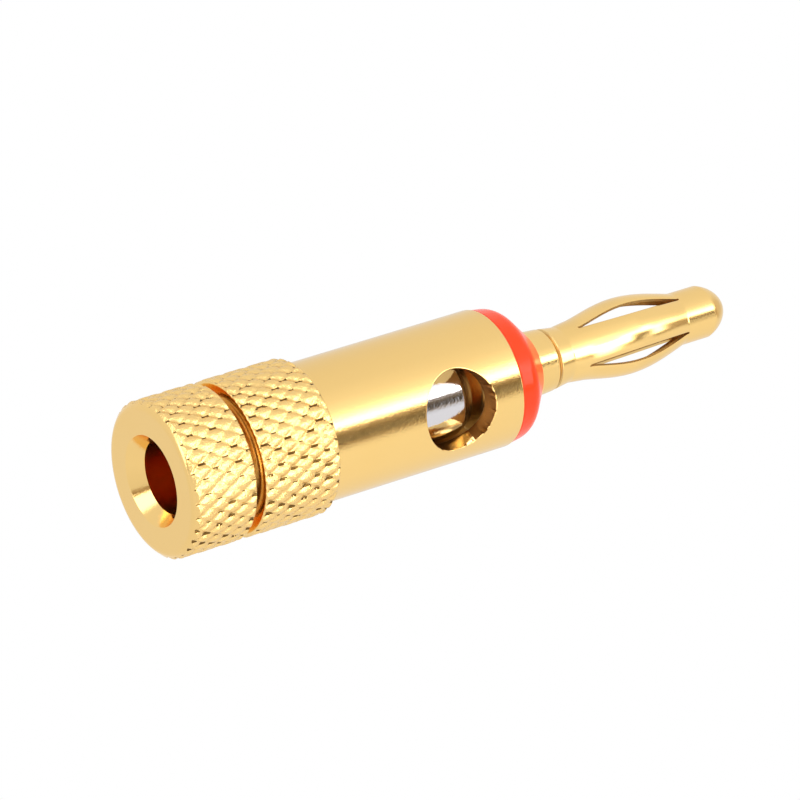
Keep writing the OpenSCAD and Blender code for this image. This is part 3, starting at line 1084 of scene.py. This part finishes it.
class PLUG_OT_stage(bpy.types.Operator):
    """Camera at the photograph's place, white surround with a strip light and a dark flag, floor"""

    bl_idname = "plug.stage"
    bl_label = "Stage"

    sensor_width = 36
    clip_near, clip_far = 0.01, 10
    # The slots and the countersink mirror themselves many times
    glossy_bounces = 12
    lamp_width, lamp_power = 0.2, 0.35
    lamp_away, lamp_height, lamp_turn = 0.22, 0.34, -0.5
    floor_r = 0.3
    floor_corners = 96
    floor_gap = 0.02 * MM
    # Shares of the floor's radius between which it fades out
    fade_from, fade_to = 0.25, 0.95

    def execute(self, context):
        scene = context.scene
        stage = scene.plug_stage
        facing = stage.camera_turn - math.pi / 2
        self.camera(scene, stage, facing)
        self.world(scene, facing)
        self.lamp(scene, facing)
        self.floor(scene, stage)
        scene.view_settings.view_transform = "Standard"
        scene.cycles.glossy_bounces = self.glossy_bounces
        return {"FINISHED"}

    def camera(self, scene, stage, facing):
        """The camera looks along the plug from behind and a little to one side."""
        towards = Vector((math.cos(facing), math.sin(facing), 0))
        across = Vector((-math.sin(facing), math.cos(facing), 0))
        axis = Vector((0, 0, 1))
        drop, roll = stage.camera_drop, stage.camera_roll
        ahead = axis * math.sin(drop) - towards * math.cos(drop)
        along = axis * math.cos(drop) + towards * math.sin(drop)
        right = along * math.cos(roll) + across * math.sin(roll)
        down = across * math.cos(roll) - along * math.sin(roll)
        collar = Vector((0, 0, COLLAR_REAR))
        place = collar - right * stage.camera_right - down * stage.camera_down
        place -= ahead * stage.camera_away
        data = bpy.data.cameras.new("photo_camera")
        data.sensor_width = self.sensor_width
        data.lens = stage.lens
        data.clip_start, data.clip_end = self.clip_near, self.clip_far
        obj = bpy.data.objects.new("photo_camera", data)
        turn = Matrix((right, -down, -ahead)).transposed()
        obj.matrix_world = Matrix.Translation(place) @ turn.to_4x4()
        scene.collection.objects.link(obj)
        scene.camera = obj

    def world(self, scene, facing):
        """White for the camera, plain light for matt surfaces, and a surround with a bright strip
        beside a dark flag for whatever shines."""
        world = bpy.data.worlds.new("light_tent")
        scene.world = world
        world.use_nodes = True
        tree = world.node_tree
        tree.nodes.clear()
        way = add_node(tree, "TexCoord").outputs["Generated"]
        parts = add_node(tree, "SeparateXYZ", {}, {"Vector": way})
        turn = add_node(tree, "Math", {"operation": "ARCTAN2"}, {
            0: parts.outputs["Y"], 1: parts.outputs["X"]})
        off = add_node(tree, "Math", {"operation": "SUBTRACT"}, {
            0: turn.outputs[0], 1: facing})
        wrapped = add_node(tree, "Math", {"operation": "WRAP"}, {
            0: off.outputs[0], 1: math.pi, 2: -math.pi})
        share = add_node(tree, "MapRange", {}, {
            "Value": wrapped.outputs[0], "From Min": -math.pi, "From Max": math.pi})
        tent = None
        for bottom, top, stops in TENT:
            ramp = self.ramp(tree, share, stops).outputs["Color"]
            if tent is None:
                tent = ramp
                continue
            rise = add_node(tree, "MapRange", {"interpolation_type": "SMOOTHSTEP"}, {
                "Value": parts.outputs["Z"], "From Min": bottom, "From Max": top})
            tent = add_node(tree, "Mix", {"data_type": "RGBA"}, {
                "Factor": rise.outputs[0], FIRST: tent, SECOND: ramp}).outputs[MIXED]
        ray = add_node(tree, "LightPath").outputs
        for kind, level in (("Is Diffuse Ray", MATT_LIGHT), ("Is Camera Ray", WHITE)):
            tent = add_node(tree, "Mix", {"data_type": "RGBA"}, {
                "Factor": ray[kind], FIRST: tent,
                SECOND: (level / PEAK,) * 3 + (1,)}).outputs[MIXED]
        back = add_node(tree, "Background", {}, {"Color": tent, "Strength": PEAK})
        add_node(tree, "OutputWorld", {}, {"Surface": back.outputs[0]})

    def ramp(self, tree, share, stops):
        """Brightness and warmth by the turn from the camera."""
        node = add_node(tree, "ValToRGB", {}, {"Fac": share.outputs[0]})
        elements = node.color_ramp.elements
        while len(elements) < len(stops):
            elements.new(0.5)
        for element, (degrees, level, warm) in zip(elements, stops):
            element.position = (degrees + 180) / 360
            element.color = [level / PEAK * (1 - warm * k) for k in WARMTH] + [1]
        return node

    def lamp(self, scene, facing):
        """One soft lamp above the plug gives the floor its shadow and the ring its shading."""
        data = bpy.data.lights.new("soft_lamp", "AREA")
        data.shape = "DISK"
        data.size = self.lamp_width
        data.energy = self.lamp_power
        obj = bpy.data.objects.new("soft_lamp", data)
        turn = facing + self.lamp_turn
        place = Vector((math.cos(turn), math.sin(turn), 0)) * self.lamp_away
        place.z = self.lamp_height
        obj.location = place
        aim = Vector((0, 0, (CAD_BOX[0][2] + CAD_BOX[1][2]) / 2)) - place
        obj.rotation_mode = "QUATERNION"
        obj.rotation_quaternion = aim.to_track_quat("-Z", "Y")
        obj.visible_glossy = False
        scene.collection.objects.link(obj)

    def floor(self, scene, stage):
        """A pale floor that fades out, and that is clear from below, where the camera stands."""
        mesh = bpy.data.meshes.new("floor")
        disc = bmesh.new()
        bmesh.ops.create_circle(
            disc, cap_ends=True, segments=self.floor_corners, radius=self.floor_r)
        disc.to_mesh(mesh)
        disc.free()
        obj = bpy.data.objects.new("floor", mesh)
        obj.location.z = CAD_BOX[0][2] - self.floor_gap
        scene.collection.objects.link(obj)
        # The plug stands on its knob, so the floor goes down with it
        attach(obj, "knob")
        for kind in ("glossy", "diffuse", "transmission", "shadow"):
            setattr(obj, f"visible_{kind}", False)
        material = bpy.data.materials.new("pale_floor")
        material.use_nodes = True
        tree = material.node_tree
        tree.nodes.clear()
        place = add_node(tree, "TexCoord").outputs["Object"]
        far = add_node(tree, "VectorMath", {"operation": "LENGTH"}, {0: place})
        fade = add_node(tree, "MapRange", {"interpolation_type": "SMOOTHSTEP"}, {
            "Value": far.outputs["Value"], "From Min": self.floor_r * self.fade_from,
            "From Max": self.floor_r * self.fade_to})
        behind = add_node(tree, "NewGeometry").outputs["Backfacing"]
        gone = add_node(tree, "Math", {"operation": "MAXIMUM"}, {
            0: fade.outputs[0], 1: behind})
        matt = add_node(tree, "BsdfDiffuse", {}, {"Color": (*stage.floor, 1)})
        clear = add_node(tree, "BsdfTransparent")
        both = add_node(tree, "MixShader", {}, {
            0: gone.outputs[0], 1: matt.outputs[0], 2: clear.outputs[0]})
        add_node(tree, "OutputMaterial", {}, {"Surface": both.outputs[0]})
        mesh.materials.append(material)


class PLUG_PT_panel(bpy.types.Panel):
    """Lists the plug's pieces and its stage in the sidebar"""

    bl_idname = "PLUG_PT_panel"
    bl_label = "Banana plug"
    bl_space_type = "VIEW_3D"
    bl_region_type = "UI"
    bl_category = "Plug"

    def draw(self, context):
        for operator in PIECES:
            self.layout.operator(operator.bl_idname)
        for group_name, group in GROUPS.items():
            box = self.layout.box()
            for name in group.__annotations__:
                box.prop(getattr(context.scene, group_name), name)


PIECES = (
    PLUG_OT_rear_knob, PLUG_OT_clamp_tip, PLUG_OT_barrel, PLUG_OT_colour_ring,
    PLUG_OT_pin_stem, PLUG_OT_spring_pin, PLUG_OT_stage,
)
GROUPS = {"plug_sizes": PlugSizes, "plug_finish": PlugFinish, "plug_stage": PlugStage}


def register():
    for name, group in GROUPS.items():
        bpy.utils.register_class(group)
        setattr(bpy.types.Scene, name, PointerProperty(type=group))
    for operator in PIECES:
        bpy.utils.register_class(operator)
    bpy.utils.register_class(PLUG_PT_panel)


def unregister():
    bpy.utils.unregister_class(PLUG_PT_panel)
    for operator in reversed(PIECES):
        bpy.utils.unregister_class(operator)
    for name, group in GROUPS.items():
        delattr(bpy.types.Scene, name)
        bpy.utils.unregister_class(group)


def main():
    """Builds the pieces and the stage."""
    register()
    bpy.ops.plug.rear_knob()
    bpy.ops.plug.clamp_tip()
    bpy.ops.plug.barrel()
    bpy.ops.plug.colour_ring()
    bpy.ops.plug.pin_stem()
    bpy.ops.plug.spring_pin()
    bpy.ops.plug.stage()


if __name__ == "__main__":
    main()
